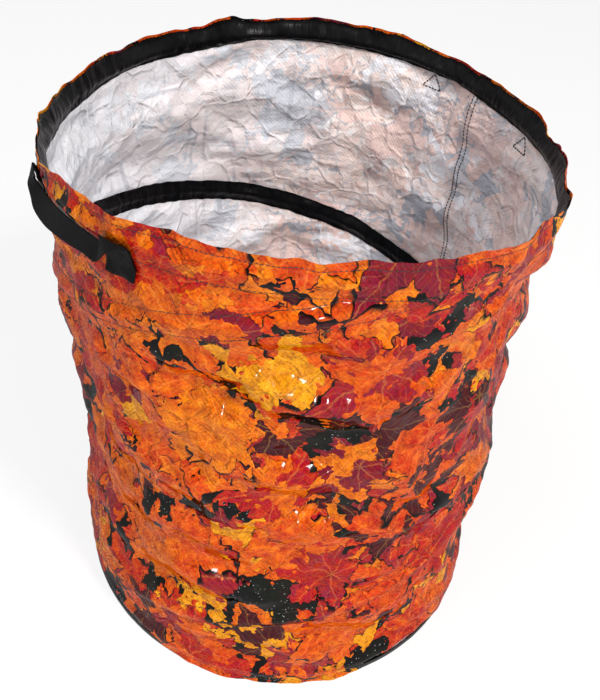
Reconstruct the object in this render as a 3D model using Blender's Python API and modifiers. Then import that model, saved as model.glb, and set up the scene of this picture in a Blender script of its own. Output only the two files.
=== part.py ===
"""A pop-up leaf bag: a tarpaulin tube held open by two wire hoops and a wire spiral.

Lengths are metres, +Z is up, +Y points away from the viewer, and the origin is the middle of
the underside. Angles are degrees round the bag, from +X towards +Y.

Every sewn piece is drawn on the cloth's flat pattern, as an angle round the bag, a height up
the cloth and an offset from it, and one function, drape, then lays it on the standing tube.
"""

import math

import bmesh
import bpy
from mathutils import Matrix, Vector

# Cloth tube
BAG_RADIUS = 0.25
BAG_HEIGHT = 0.60
CLOTH = 0.0006
CLEARANCE = 0.0003
SEAM_DEG = 42.0
SEAM_LAP = 0.008
SEAM_ROW_INSET = 0.00125
SAG_SHARE = 0.033
FOLD_SHARE = 0.008
FOLD_COUNT = 5
FOLD_TWIST_DEG = 250.0
RIM_SADDLE = 0.010
RIM_TILT = 0.011
RIM_LEAN_X = -0.0125
RIM_LEAN_Y = 0.0012
BACK_LIFT = 0.015
BACK_LIFT_DEG = 85.0
COLUMNS = 48
SPANS = 5

# Sprung wire and its crimped sleeves
WIRE_RADIUS = 0.00175
SLEEVE_WALL = 0.0004
SLEEVE_LENGTH = 0.018
SLEEVE_END_STEPS = 6
SPIRAL_FOOT_DEG = -183.0
SPIRAL_HEAD_DEG = 304.5
SLEEVE_COLUMNS_FROM_END = 1.5

# Casing tapes, sewn inside the cloth over the wires
TAPE = 0.0004
TAPE_HEM = 0.003
CHANNEL_HALF = 0.006
RIM_TAPE_WIDTH = 0.030
RIM_TAPE_INSET = 0.006
SPIRAL_TAPE_WIDTH = 0.028
BASE_TAPE_WIDTH = 0.028
BASE_TAPE_INSET = 0.004

# Edge binding round the base
BINDING = 0.0012
BINDING_HEIGHT = 0.007
BINDING_ROUND = 0.0004

# Webbing handles
WEBBING = 0.0015
WEBBING_WIDTH = 0.030
HANDLE_DEG = 220.5
HANDLE_HALF_DEG = 17.0
TAIL_TOP_DROP = 0.029
TAIL_LENGTH = 0.027
TAIL_COLUMNS = 7
LIP_RISE = 0.007
LIP_STAND = 0.009
LIP_HALFWAY_SHARE = 0.35
STRAP_DROP = 0.003
STRAP_BULGE = 0.016
ARCH_REACH = 0.004
STRAP_RISE = 0.010
STRAP_STATIONS = 15
STRAP_ROWS = 6

# Thread
THREAD_RADIUS = 0.0003
TAPE_ROW_INSET = 0.0015
TRIANGLE_WIDTH = 0.024
TRIANGLE_HEIGHT = 0.018
TRIANGLE_DROP = 0.020

# Heights that follow from the sizes above
STEP_DEG = 360.0 / COLUMNS
RIM_HOOP_HEIGHT = BAG_HEIGHT - RIM_TAPE_INSET - RIM_TAPE_WIDTH / 2
BASE_HOOP_HEIGHT = BASE_TAPE_INSET + BASE_TAPE_WIDTH / 2
WIRE_PITCH = 2 * WIRE_RADIUS + CLEARANCE
RIM_TAPE_FOOT = RIM_HOOP_HEIGHT - RIM_TAPE_WIDTH / 2
BASE_TAPE_TOP = BASE_HOOP_HEIGHT + BASE_TAPE_WIDTH / 2
COLUMN_CLIMB = (RIM_HOOP_HEIGHT - BASE_HOOP_HEIGHT) * STEP_DEG / (SPIRAL_HEAD_DEG - SPIRAL_FOOT_DEG)
WALL_LIFT = CLOTH + CLEARANCE

# Depths inside the cloth, measured from its middle
HEM_DEPTH = CLOTH / 2 + 2 * CLEARANCE + TAPE / 2
WIRE_DEPTH = CLOTH / 2 + CLEARANCE + SLEEVE_WALL + CLEARANCE + WIRE_RADIUS
CROWN_DEPTH = WIRE_DEPTH + WIRE_RADIUS + CLEARANCE + TAPE / 2
SLEEVE_ROOM = SLEEVE_WALL + 2 * CLEARANCE
LAP_ROOM = CLOTH + 2 * CLEARANCE

# Offsets outside the cloth, measured from its middle
THREAD_OFFSET = CLOTH / 2 + CLEARANCE + THREAD_RADIUS
TAIL_OFFSET = THREAD_OFFSET + THREAD_RADIUS + CLEARANCE + WEBBING / 2
STRAP_GAP = WEBBING / 2 + 2 * CLEARANCE


def clear_scene():
    for thing in list(bpy.data.objects):
        bpy.data.objects.remove(thing, do_unlink=True)


def collection(name):
    made = bpy.data.collections.new(name)
    bpy.context.scene.collection.children.link(made)
    return made


def material(name, colour, roughness, metallic=0.0):
    made = bpy.data.materials.new(name)
    made.use_nodes = True
    shader = made.node_tree.nodes["Principled BSDF"]
    shader.inputs["Base Color"].default_value = (*colour, 1.0)
    shader.inputs["Roughness"].default_value = roughness
    shader.inputs["Metallic"].default_value = metallic
    made.diffuse_color = (*colour, 1.0)
    return made


# Drape

def degrees_for(length):
    """The angle that a length spans round the bag."""
    return math.degrees(length / BAG_RADIUS)


def spiral_height(angle):
    """The height of the spiral's line, which is straight on the flat cloth."""
    climb = (angle - SPIRAL_FOOT_DEG) / (SPIRAL_HEAD_DEG - SPIRAL_FOOT_DEG)
    return BASE_HOOP_HEIGHT + (RIM_HOOP_HEIGHT - BASE_HOOP_HEIGHT) * climb


def wire_heights(angle):
    """The heights at which a wire crosses one upright line of the cloth."""
    found = [BASE_HOOP_HEIGHT, RIM_HOOP_HEIGHT]
    for turn in (-360.0, 0.0, 360.0):
        height = spiral_height(angle + turn)
        if BASE_HOOP_HEIGHT < height < RIM_HOOP_HEIGHT:
            found.append(height)
    return sorted(found)


def wall_rows():
    span = (RIM_HOOP_HEIGHT - BASE_HOOP_HEIGHT) / SPANS
    between = [BASE_HOOP_HEIGHT + span * k for k in range(SPANS + 1)]
    return [0.0] + between + [BAG_HEIGHT]


def taut_cloth(angle, height):
    """Radius and world height of the taut cloth, drawn in and folded between its wires."""
    turn = math.radians(angle)
    radius = BAG_RADIUS
    stops = wire_heights(angle)
    for low, high in zip(stops, stops[1:]):
        if low < height < high:
            span = high - low
            belly = 4 * (height - low) * (high - height) / span
            fold = math.sin(FOLD_COUNT * turn + math.radians(FOLD_TWIST_DEG) * height / BAG_HEIGHT)
            radius -= belly * (SAG_SHARE + FOLD_SHARE * fold)
    rise = height / BAG_HEIGHT
    uneven = -RIM_SADDLE * math.cos(2 * turn) * rise**2 - RIM_TILT * math.sin(turn) * rise
    swell = 4 * rise * (1 - rise) * (1 + math.cos(turn - math.radians(BACK_LIFT_DEG))) / 2
    return radius, height + uneven + BACK_LIFT * swell


def column_point(column, height, offset):
    """A point on one upright edge of the faceted wall, straight between the wall's rows."""
    angle = SEAM_DEG + STEP_DEG * (column % COLUMNS)
    knots = sorted(set(wall_rows() + wire_heights(angle)))
    k = 0
    while k < len(knots) - 2 and height > knots[k + 1]:
        k += 1
    share = (height - knots[k]) / (knots[k + 1] - knots[k])
    low_radius, low_z = taut_cloth(angle, knots[k])
    high_radius, high_z = taut_cloth(angle, knots[k + 1])
    radius = low_radius + (high_radius - low_radius) * share + offset
    z = low_z + (high_z - low_z) * share
    turn = math.radians(angle)
    rise = height / BAG_HEIGHT
    x = radius * math.cos(turn) + RIM_LEAN_X * rise
    y = radius * math.sin(turn) + RIM_LEAN_Y * rise
    return Vector((x, y, z + WALL_LIFT))


def drape(angle, height, offset=0.0):
    """Lays a point of the flat pattern on the faceted tube."""
    place = (angle - SEAM_DEG) / STEP_DEG
    column = math.floor(place)
    near = column_point(column, height, offset)
    far = column_point(column + 1, height, offset)
    return near.lerp(far, place - column)


def lap_room(angle):
    """The extra depth over the lapped seam, which fades out one column to each side."""
    away = abs((angle - SEAM_DEG + 180.0) % 360.0 - 180.0)
    return LAP_ROOM * max(0.0, 1 - away / STEP_DEG)


def inside(depth, angle):
    return -(depth + lap_room(angle))


# Makers

def place_object(made, group, look, parent=None):
    made.data.materials.append(look)
    group.objects.link(made)
    if parent:
        made.parent = parent
        made.matrix_parent_inverse = parent.matrix_world.inverted()
    return made


def pattern_grid(angles, rows):
    """A flat grid whose corners are (column number, row number, 0)."""
    grid = bmesh.new()
    across, up = len(angles) - 1, rows - 1
    bmesh.ops.create_grid(grid, x_segments=across, y_segments=up, size=0.5)
    for vert in grid.verts:
        vert.co.x = round((vert.co.x + 0.5) * across)
        vert.co.y = round((vert.co.y + 0.5) * up)
    return grid


def cloth_object(name, pattern, thickness, group, look, parent=None):
    """Drapes a pattern of (angle, height, offset) corners and gives it its thickness."""
    for vert in pattern.verts:
        vert.co = drape(*vert.co)
    merge = CLEARANCE / 10
    bmesh.ops.remove_doubles(pattern, verts=pattern.verts[:], dist=merge)
    bmesh.ops.triangulate(pattern, faces=pattern.faces[:])
    mesh = bpy.data.meshes.new(name)
    pattern.to_mesh(mesh)
    pattern.free()
    made = bpy.data.objects.new(name, mesh)
    solid = made.modifiers.new("Thickness", "SOLIDIFY")
    solid.thickness = thickness
    solid.offset = 0.0
    return place_object(made, group, look, parent)


def strip_pattern(angles, centre_of, rows_across, depth_of):
    """A casing tape's pattern: rows at set distances from its centre line."""
    strip = pattern_grid(angles, len(rows_across))
    for vert in strip.verts:
        angle = angles[round(vert.co.x)]
        height = centre_of(angle) + rows_across[round(vert.co.y)]
        vert.co = (angle, height, inside(depth_of(angle, height), angle))
    return strip


def tube_object(name, route, radius, sides_level, cyclic, group, look, parent=None):
    """A round tube along a list of points."""
    curve = bpy.data.curves.new(name, "CURVE")
    curve.dimensions = "3D"
    curve.bevel_depth = radius
    curve.bevel_resolution = sides_level
    curve.use_fill_caps = True
    spline = curve.splines.new("POLY")
    spline.points.add(len(route) - 1)
    for point, place in zip(spline.points, route):
        point.co = (*place, 1.0)
    spline.use_cyclic_u = cyclic
    return place_object(bpy.data.objects.new(name, curve), group, look, parent)


def thread_object(name, route, cyclic, group, look, parent=None):
    return tube_object(name, route, THREAD_RADIUS, 0, cyclic, group, look, parent)


def ring_angles():
    return [SEAM_DEG + STEP_DEG * k for k in range(COLUMNS)]


def spiral_angles():
    count = round((SPIRAL_HEAD_DEG - SPIRAL_FOOT_DEG) / STEP_DEG)
    return [SPIRAL_FOOT_DEG + STEP_DEG * k for k in range(count + 1)]


# Wires

def spiral_wire_height(angle):
    """The spiral's line, stopped where its ends lie beside the two hoops."""
    lowest = BASE_HOOP_HEIGHT + WIRE_PITCH
    highest = RIM_HOOP_HEIGHT - WIRE_PITCH
    return min(max(spiral_height(angle), lowest), highest)


def wire_point(angle, height):
    return drape(angle, height, inside(WIRE_DEPTH, angle))


def hoop(name, height, group, look, parent=None):
    route = [wire_point(angle, height) for angle in ring_angles()]
    return tube_object(name, route, WIRE_RADIUS, 2, True, group, look, parent)


def spiral_spring(group, look):
    route = [wire_point(angle, spiral_wire_height(angle)) for angle in spiral_angles()]
    return tube_object("spiral_spring", route, WIRE_RADIUS, 2, False, group, look)


def oval(radius):
    """A stadium outline round two wires that lie one pitch apart."""
    points = []
    for side in (1, -1):
        for k in range(SLEEVE_END_STEPS + 1):
            turn = math.pi * k / SLEEVE_END_STEPS + (0.0 if side > 0 else math.pi)
            points.append((radius * math.cos(turn), radius * math.sin(turn) + side * WIRE_PITCH / 2))
    return points


def sleeve(name, hoop_height, spiral_side, angle, group, look, parent=None):
    """A crimped sleeve round a hoop and the spiral's end, midway between two columns."""
    before, after = angle - STEP_DEG / 2, angle + STEP_DEG / 2
    middle_height = hoop_height + spiral_side * WIRE_PITCH / 2
    start, end = wire_point(before, middle_height), wire_point(after, middle_height)
    along = (end - start).normalized()
    up = wire_point(before, hoop_height) - wire_point(before, hoop_height - WIRE_PITCH)
    up = (up - along * up.dot(along)).normalized()
    outward = up.cross(along)
    curve = bpy.data.curves.new(name, "CURVE")
    curve.dimensions = "2D"
    curve.fill_mode = "BOTH"
    curve.extrude = SLEEVE_LENGTH / 2
    for radius in (WIRE_RADIUS + CLEARANCE + SLEEVE_WALL, WIRE_RADIUS + CLEARANCE):
        outline = oval(radius)
        spline = curve.splines.new("POLY")
        spline.points.add(len(outline) - 1)
        for point, (x, y) in zip(spline.points, outline):
            point.co = (x, y, 0.0, 1.0)
        spline.use_cyclic_u = True
    made = bpy.data.objects.new(name, curve)
    turned = Matrix((outward, up, along)).transposed().to_4x4()
    made.matrix_world = Matrix.Translation((start + end) / 2) @ turned
    return place_object(made, group, look, parent)


def head_sleeve_angle():
    return SPIRAL_HEAD_DEG - SLEEVE_COLUMNS_FROM_END * STEP_DEG


def foot_sleeve_angle():
    return SPIRAL_FOOT_DEG + SLEEVE_COLUMNS_FROM_END * STEP_DEG


# Casing tapes

def across_rows(width):
    """Corners across a tape: hem, channel side and flat crown."""
    half = width / 2
    return [-half, TAPE_HEM - half, -CHANNEL_HALF, CHANNEL_HALF, half - TAPE_HEM, half]


def channel_depth(away, flat, width):
    """The depth of a tape at a distance from the wire below it."""
    slope_end = width / 2 - TAPE_HEM
    side = slope_end - CHANNEL_HALF
    share = min(max((flat + side - away) / side, 0.0), 1.0)
    return HEM_DEPTH + (CROWN_DEPTH - HEM_DEPTH) * share


def sleeve_room(angle, sleeve_angle):
    near = abs((angle - sleeve_angle + 180.0) % 360.0 - 180.0) < STEP_DEG
    return SLEEVE_ROOM if near else 0.0


def hoop_tape_depth(hoop_height, width, sleeve_angle):
    """Depth over a hoop, raised also where the spiral comes in beneath the tape."""
    def depth_of(angle, height):
        depth = channel_depth(abs(height - hoop_height), CHANNEL_HALF, width)
        if depth > HEM_DEPTH:
            depth += sleeve_room(angle, sleeve_angle)
        for turn in (-360.0, 0.0, 360.0):
            if SPIRAL_FOOT_DEG <= angle + turn <= SPIRAL_HEAD_DEG:
                away = abs(height - spiral_wire_height(angle + turn))
                depth = max(depth, channel_depth(away, CHANNEL_HALF + COLUMN_CLIMB / 2, width))
        return depth
    return depth_of


def ring_tape(name, hoop_height, width, sleeve_angle, group, look, parent=None):
    angles = ring_angles() + [SEAM_DEG + 360.0]
    depth_of = hoop_tape_depth(hoop_height, width, sleeve_angle)
    strip = strip_pattern(angles, lambda angle: hoop_height, across_rows(width), depth_of)
    return cloth_object(name, strip, TAPE, group, look, parent)


def spiral_tape(group, look):
    """The spiral's tape, cut off level where it meets the two ring tapes."""
    def depth_of(angle, height):
        return channel_depth(abs(height - spiral_height(angle)), CHANNEL_HALF, SPIRAL_TAPE_WIDTH)
    strip = strip_pattern(spiral_angles(), spiral_height, across_rows(SPIRAL_TAPE_WIDTH), depth_of)
    for limit, way in ((RIM_TAPE_FOOT - 2 * CLEARANCE, 1.0), (BASE_TAPE_TOP + 2 * CLEARANCE, -1.0)):
        everything = strip.verts[:] + strip.edges[:] + strip.faces[:]
        bmesh.ops.bisect_plane(strip, geom=everything, dist=CLEARANCE / 10, plane_co=(0.0, limit, 0.0),
                               plane_no=(0.0, way, 0.0), clear_outer=True)
    return cloth_object("spiral_casing", strip, TAPE, group, look)


# Cloth panels

def wall_panel(group, look):
    """The printed panel, rolled into a tube whose last edge laps inside the first."""
    lap = degrees_for(SEAM_LAP)
    round_bag = ring_angles()
    angles = round_bag[:1] + [SEAM_DEG + lap] + round_bag[1:]
    angles += [SEAM_DEG + 360.0 - lap, SEAM_DEG + 360.0, SEAM_DEG + 360.0 + lap]
    rows = wall_rows()
    panel = pattern_grid(angles, len(rows))
    for vert in panel.verts:
        column = round(vert.co.x)
        lapped = column >= len(angles) - 2
        offset = -(CLOTH + CLEARANCE) if lapped else 0.0
        vert.co = (angles[column], rows[round(vert.co.y)], offset)
    slope = (RIM_HOOP_HEIGHT - BASE_HOOP_HEIGHT) / (SPIRAL_HEAD_DEG - SPIRAL_FOOT_DEG)
    for turn in (0.0, 360.0):
        everything = panel.verts[:] + panel.edges[:] + panel.faces[:]
        bmesh.ops.bisect_plane(panel, geom=everything, dist=CLEARANCE,
                               plane_co=(SPIRAL_FOOT_DEG + turn, BASE_HOOP_HEIGHT, 0.0),
                               plane_no=(-slope, 1.0, 0.0))
    return cloth_object("wall_panel", panel, CLOTH, group, look)


def base_panel(group, look):
    """The round floor of the bag, whose corners lie below the wall's columns."""
    disc = bmesh.new()
    radius = BAG_RADIUS + CLOTH / 2
    bmesh.ops.create_cone(disc, cap_ends=True, segments=COLUMNS, radius1=radius, radius2=radius, depth=CLOTH)
    turn = Matrix.Rotation(math.radians(SEAM_DEG), 4, "Z")
    lift = Matrix.Translation((0.0, 0.0, CLOTH / 2))
    bmesh.ops.transform(disc, verts=disc.verts[:], matrix=lift @ turn)
    mesh = bpy.data.meshes.new("base_panel")
    disc.to_mesh(mesh)
    disc.free()
    return place_object(bpy.data.objects.new("base_panel", mesh), group, look)


def edge_binding(group, look):
    """The bound edge, a turned band round the foot of the wall and the base panel."""
    inner = BAG_RADIUS + CLOTH / 2 + CLEARANCE
    outer = inner + BINDING
    profile = [(inner, 0.0), (inner, BINDING_HEIGHT), (outer - BINDING_ROUND, BINDING_HEIGHT),
               (outer, BINDING_HEIGHT - BINDING_ROUND), (outer, BINDING_ROUND), (outer - BINDING_ROUND, 0.0)]
    band = bmesh.new()
    start = Matrix.Rotation(math.radians(SEAM_DEG), 3, "Z")
    verts = [band.verts.new(start @ Vector((radius, 0.0, z))) for radius, z in profile]
    edges = [band.edges.new((verts[k], verts[(k + 1) % len(verts)])) for k in range(len(verts))]
    bmesh.ops.spin(band, geom=verts + edges, cent=(0.0, 0.0, 0.0), axis=(0.0, 0.0, 1.0),
                   angle=math.radians(360.0), steps=COLUMNS, use_merge=True)
    bmesh.ops.recalc_face_normals(band, faces=band.faces[:])
    mesh = bpy.data.meshes.new("edge_binding")
    band.to_mesh(mesh)
    band.free()
    return place_object(bpy.data.objects.new("edge_binding", mesh), group, look)


# Handles

def tail_top():
    return BAG_HEIGHT - TAIL_TOP_DROP


def hinge_height():
    return tail_top() + LIP_RISE + CLEARANCE


def lip_offset(angle, centre_deg):
    """The offset of the straight line through the tops of a handle's two tails."""
    reach = (BAG_RADIUS + LIP_STAND) * math.cos(math.radians(HANDLE_HALF_DEG))
    return reach / math.cos(math.radians(angle - centre_deg)) - BAG_RADIUS


def handle_tail(name, side, centre_deg, group, look, parent):
    """One end of the webbing, sewn flat on the wall, whose lip turns out to the hinge line."""
    half = degrees_for(WEBBING_WIDTH) / 2
    sewn = [(-TAIL_LENGTH, 0.0), (-TAIL_LENGTH / 2, 0.0), (0.0, 0.0)]
    rows = sewn + [(LIP_RISE / 2, LIP_HALFWAY_SHARE), (LIP_RISE, 1.0)]
    tail = pattern_grid(list(range(TAIL_COLUMNS)), len(rows))
    for vert in tail.verts:
        share = vert.co.x / (TAIL_COLUMNS - 1)
        angle = centre_deg + side * HANDLE_HALF_DEG - half + 2 * half * share
        rise, turned = rows[round(vert.co.y)]
        offset = TAIL_OFFSET + (lip_offset(angle, centre_deg) - TAIL_OFFSET) * turned
        vert.co = (angle, tail_top() + rise, offset)
    return cloth_object(name, tail, WEBBING, group, look, parent)


def strap_edges(centre_deg):
    """Pairs of (angle, height, offset) corners down the loop: its upper and its lower edge."""
    half = degrees_for(WEBBING_WIDTH) / 2
    top = hinge_height()
    upper = top - STRAP_DROP

    def arch(side):
        """The webbing's turn from a tail's lip out and down into the loop."""
        inner = centre_deg + side * (HANDLE_HALF_DEG - half)
        middle = centre_deg + side * HANDLE_HALF_DEG
        outer = centre_deg + side * (HANDLE_HALF_DEG + half)
        line = [lip_offset(angle, centre_deg) + STRAP_GAP for angle in (inner, middle, outer)]
        lip = ((inner, top, line[0]), (outer, top, line[2]))
        crown = ((inner, top, line[0] + ARCH_REACH), (middle, top, line[1] + ARCH_REACH))
        return [lip, crown]

    start = lip_offset(centre_deg + HANDLE_HALF_DEG - half, centre_deg) + STRAP_GAP + ARCH_REACH
    loop = []
    for k in range(STRAP_STATIONS):
        share = 2 * k / (STRAP_STATIONS - 1) - 1
        bow = math.sqrt(1 - share * share)
        angle = centre_deg + share * (HANDLE_HALF_DEG - half)
        offset = start + STRAP_BULGE * bow
        height = upper + STRAP_RISE * bow
        loop.append(((angle, height, offset), (angle, height - WEBBING_WIDTH, offset)))
    return arch(-1) + loop + list(reversed(arch(1)))


def hinge_point(centre_deg, side):
    return drape(centre_deg + side * HANDLE_HALF_DEG, hinge_height(), LIP_STAND + STRAP_GAP)


def handle_strap(name, centre_deg, group, look, parent):
    """The loop: it turns over at both tails and runs along the wall with a loose, raised bow."""
    pairs = strap_edges(centre_deg)
    strap = pattern_grid(pairs, STRAP_ROWS)
    for vert in strap.verts:
        upper, lower = pairs[round(vert.co.x)]
        vert.co = Vector(upper).lerp(Vector(lower), vert.co.y / (STRAP_ROWS - 1))
    return cloth_object(name, strap, WEBBING, group, look, parent)


def hinge_empty(name, centre_deg, group, parent):
    """An empty on the line about which a strap swings."""
    start, end = hinge_point(centre_deg, -1), hinge_point(centre_deg, 1)
    empty = bpy.data.objects.new(name, None)
    empty.matrix_world = Matrix.Translation((start + end) / 2)
    empty.empty_display_size = WEBBING_WIDTH
    group.objects.link(empty)
    empty.parent = parent
    empty.matrix_parent_inverse = parent.matrix_world.inverted()
    bpy.context.view_layer.update()
    return empty


# Stitching

def ring_row(height):
    return [drape(angle, height, THREAD_OFFSET) for angle in ring_angles()]


def base_row():
    """The row that holds the top hem of the base tape, seen on the tape's inner side."""
    depth_of = hoop_tape_depth(BASE_HOOP_HEIGHT, BASE_TAPE_WIDTH, foot_sleeve_angle())
    route = []
    for angle in ring_angles():
        tape = max(depth_of(angle, BASE_TAPE_TOP), depth_of(angle, BASE_TAPE_TOP - TAPE_HEM))
        depth = tape + TAPE / 2 + CLEARANCE + THREAD_RADIUS
        route.append(drape(angle, BASE_TAPE_TOP - TAPE_ROW_INSET, inside(depth, angle)))
    return route


def spiral_row(way):
    """One row of stitches along the spiral, between the rows of the two ring tapes."""
    away = way * (SPIRAL_TAPE_WIDTH / 2 - TAPE_ROW_INSET)
    lowest = BASE_TAPE_TOP
    highest = RIM_TAPE_FOOT
    heights = [(angle, spiral_height(angle) + away) for angle in spiral_angles()]
    return [drape(angle, height, THREAD_OFFSET) for angle, height in heights if lowest < height < highest]


def seam_stitches(group, look):
    """Two rows up the lapped seam, inside, broken where the spiral's tape covers them."""
    depth = CLOTH * 1.5 + CLEARANCE * 2 + THREAD_RADIUS
    cover = spiral_height(SEAM_DEG)
    half = SPIRAL_TAPE_WIDTH / 2 + COLUMN_CLIMB + CLEARANCE
    stretches = (("lower", BASE_TAPE_TOP + CLEARANCE, cover - half),
                 ("upper", cover + half, RIM_TAPE_FOOT - CLEARANCE))
    for side, along in (("right", SEAM_ROW_INSET), ("left", SEAM_LAP - SEAM_ROW_INSET)):
        angle = SEAM_DEG + degrees_for(along)
        for part, low, high in stretches:
            between = [height for height in wall_rows() if low < height < high]
            route = [drape(angle, height, -depth) for height in [low] + between + [high]]
            thread_object("seam_stitches_" + side + "_" + part, route, False, group, look)


def triangle(angle, height, offset):
    """A small sewn triangle that stands on its longest side, its middle a third of the way up."""
    wide = degrees_for(TRIANGLE_WIDTH / 2)
    foot = height - TRIANGLE_HEIGHT / 3
    corners = ((angle - wide, foot), (angle + wide, foot), (angle, foot + TRIANGLE_HEIGHT))
    route = []
    for (a, h), (b, g) in zip(corners, corners[1:] + corners[:1]):
        for share in (0.0, 1 / 3, 2 / 3):
            route.append(drape(a + (b - a) * share, h + (g - h) * share, offset))
    return route


def build():
    clear_scene()
    bag = collection("pop_up_leaf_bag")

    print_cloth = material("laminated_print_cloth", (0.80, 0.26, 0.03), 0.35)
    base_cloth = material("laminated_base_cloth", (0.62, 0.18, 0.03), 0.40)
    black_tape = material("black_satin_tape", (0.012, 0.012, 0.014), 0.45)
    binding_tape = material("black_edge_binding", (0.010, 0.010, 0.010), 0.60)
    spring_steel = material("bright_spring_steel", (0.55, 0.55, 0.56), 0.30, 1.0)
    crimp_steel = material("plated_crimp_sleeve", (0.62, 0.60, 0.55), 0.35, 1.0)
    webbing = material("black_webbing", (0.014, 0.014, 0.015), 0.70)
    thread = material("black_thread", (0.010, 0.010, 0.010), 0.60)

    base_panel(bag, base_cloth)
    edge_binding(bag, binding_tape)
    wall_panel(bag, print_cloth)
    ring_tape("base_casing", BASE_HOOP_HEIGHT, BASE_TAPE_WIDTH, foot_sleeve_angle(), bag, black_tape)
    spiral_tape(bag, black_tape)
    hoop("base_hoop", BASE_HOOP_HEIGHT, bag, spring_steel)
    spiral_spring(bag, spring_steel)
    sleeve("base_sleeve", BASE_HOOP_HEIGHT, 1, foot_sleeve_angle(), bag, crimp_steel)

    carrier = bpy.data.objects.new("rim_carrier", None)
    carrier.location = (0.0, 0.0, RIM_HOOP_HEIGHT)
    carrier.empty_display_size = BAG_RADIUS
    bag.objects.link(carrier)
    bpy.context.view_layer.update()
    ring_tape("rim_casing", RIM_HOOP_HEIGHT, RIM_TAPE_WIDTH, head_sleeve_angle(), bag, black_tape, carrier)
    hoop("rim_hoop", RIM_HOOP_HEIGHT, bag, spring_steel, carrier)
    sleeve("rim_sleeve", RIM_HOOP_HEIGHT, -1, head_sleeve_angle(), bag, crimp_steel, carrier)

    for name, centre_deg in (("front_handle", HANDLE_DEG), ("rear_handle", HANDLE_DEG - 180.0)):
        for end, side in (("_left", -1), ("_right", 1)):
            handle_tail(name + end + "_tail", side, centre_deg, bag, webbing, carrier)
            angle = centre_deg + side * HANDLE_HALF_DEG
            sewn = triangle(angle, tail_top() - TRIANGLE_DROP, -THREAD_OFFSET)
            thread_object(name + end + "_stitches", sewn, True, bag, thread, carrier)
        hinge = hinge_empty(name + "_hinge", centre_deg, bag, carrier)
        handle_strap(name + "_strap", centre_deg, bag, webbing, hinge)

    for part, way in (("upper", 1), ("lower", -1)):
        height = RIM_HOOP_HEIGHT + way * (RIM_TAPE_WIDTH / 2 - TAPE_ROW_INSET)
        thread_object("rim_stitches_" + part, ring_row(height), True, bag, thread, carrier)
        thread_object("spiral_stitches_" + part, spiral_row(way), False, bag, thread)
    thread_object("base_stitches", base_row(), True, bag, thread)
    seam_stitches(bag, thread)


build()
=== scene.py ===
"""The looks of a pop-up leaf bag: printed cloth over wire hoops, satin tapes, webbing and stitches.

Lengths are metres and angles are degrees round the bag, from +X towards +Y. Every sewn piece is
drawn on the flat cloth, as an angle, a height up the cloth and an offset from it, and one
function, cloth_point, lays it on the standing, crumpled tube.
"""

import math

import bmesh
import bpy
from mathutils import Matrix, Vector, noise


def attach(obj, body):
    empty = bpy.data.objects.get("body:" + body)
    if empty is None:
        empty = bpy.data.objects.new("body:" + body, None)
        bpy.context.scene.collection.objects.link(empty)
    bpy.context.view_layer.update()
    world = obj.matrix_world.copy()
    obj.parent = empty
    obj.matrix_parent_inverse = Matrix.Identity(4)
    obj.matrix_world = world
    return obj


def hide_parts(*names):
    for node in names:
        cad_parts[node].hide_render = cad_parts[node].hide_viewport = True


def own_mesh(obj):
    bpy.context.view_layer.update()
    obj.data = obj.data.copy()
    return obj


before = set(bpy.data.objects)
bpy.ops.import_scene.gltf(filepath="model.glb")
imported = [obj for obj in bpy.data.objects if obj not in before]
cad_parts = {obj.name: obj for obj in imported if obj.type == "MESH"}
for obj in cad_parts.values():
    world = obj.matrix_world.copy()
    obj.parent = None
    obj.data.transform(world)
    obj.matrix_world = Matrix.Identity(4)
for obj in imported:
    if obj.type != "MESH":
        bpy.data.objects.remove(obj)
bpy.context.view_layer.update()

MM = 0.001
noise.seed_set(1)

# Cloth tube, as in the solid model
BAG_RADIUS = 0.25
BAG_HEIGHT = 0.60
CLOTH = 0.0006
CLEARANCE = 0.0003
SEAM_DEG = 42.0
SEAM_LAP = 0.008
SEAM_ROW_INSET = 0.00125
SAG_SHARE = 0.033
FOLD_SHARE = 0.008
FOLD_COUNT = 5
FOLD_TWIST_DEG = 250.0
RIM_SADDLE = 0.010
RIM_TILT = 0.011
RIM_LEAN_X = -0.0125
RIM_LEAN_Y = 0.0012
BACK_LIFT = 0.015
BACK_LIFT_DEG = 85.0
WALL_LIFT = CLOTH + CLEARANCE
WHOLE_ROUND = BAG_RADIUS * math.tau
LEAN = Vector((RIM_LEAN_X, RIM_LEAN_Y, BAG_HEIGHT)).normalized()

# Wires and the tapes over them, as in the solid model
WIRE_RADIUS = 0.00175
WIRE_PITCH = 2 * WIRE_RADIUS + CLEARANCE
SPIRAL_FOOT_DEG = -183.0
SPIRAL_HEAD_DEG = 304.5
TAPE = 0.0004
RIM_TAPE_WIDTH = 0.030
RIM_TAPE_INSET = 0.006
SPIRAL_TAPE_WIDTH = 0.028
BASE_TAPE_WIDTH = 0.028
BASE_TAPE_INSET = 0.004
TAPE_ROW_INSET = 0.0015
TAPE_HEM = 0.0025
RIM_TAPE_SLACK = 0.0035
RIM_HOOP_HEIGHT = BAG_HEIGHT - RIM_TAPE_INSET - RIM_TAPE_WIDTH / 2
RIM_TAPE_FOOT = RIM_HOOP_HEIGHT - RIM_TAPE_WIDTH / 2
RIM_TAPE_TOP = RIM_HOOP_HEIGHT + RIM_TAPE_WIDTH / 2
BASE_HOOP_HEIGHT = BASE_TAPE_INSET + BASE_TAPE_WIDTH / 2
BASE_TAPE_TOP = BASE_HOOP_HEIGHT + BASE_TAPE_WIDTH / 2
SPIRAL_CLIMB = (RIM_HOOP_HEIGHT - BASE_HOOP_HEIGHT) / (SPIRAL_HEAD_DEG - SPIRAL_FOOT_DEG)
HEM_DEPTH = 0.0011
WIRE_DEPTH = 0.0031
CROWN_DEPTH = 0.0054
SLEEVE_INSET_DEG = 11.25
SLEEVE_ROOM = 0.0022
SLEEVE_REACH = 0.012
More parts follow.
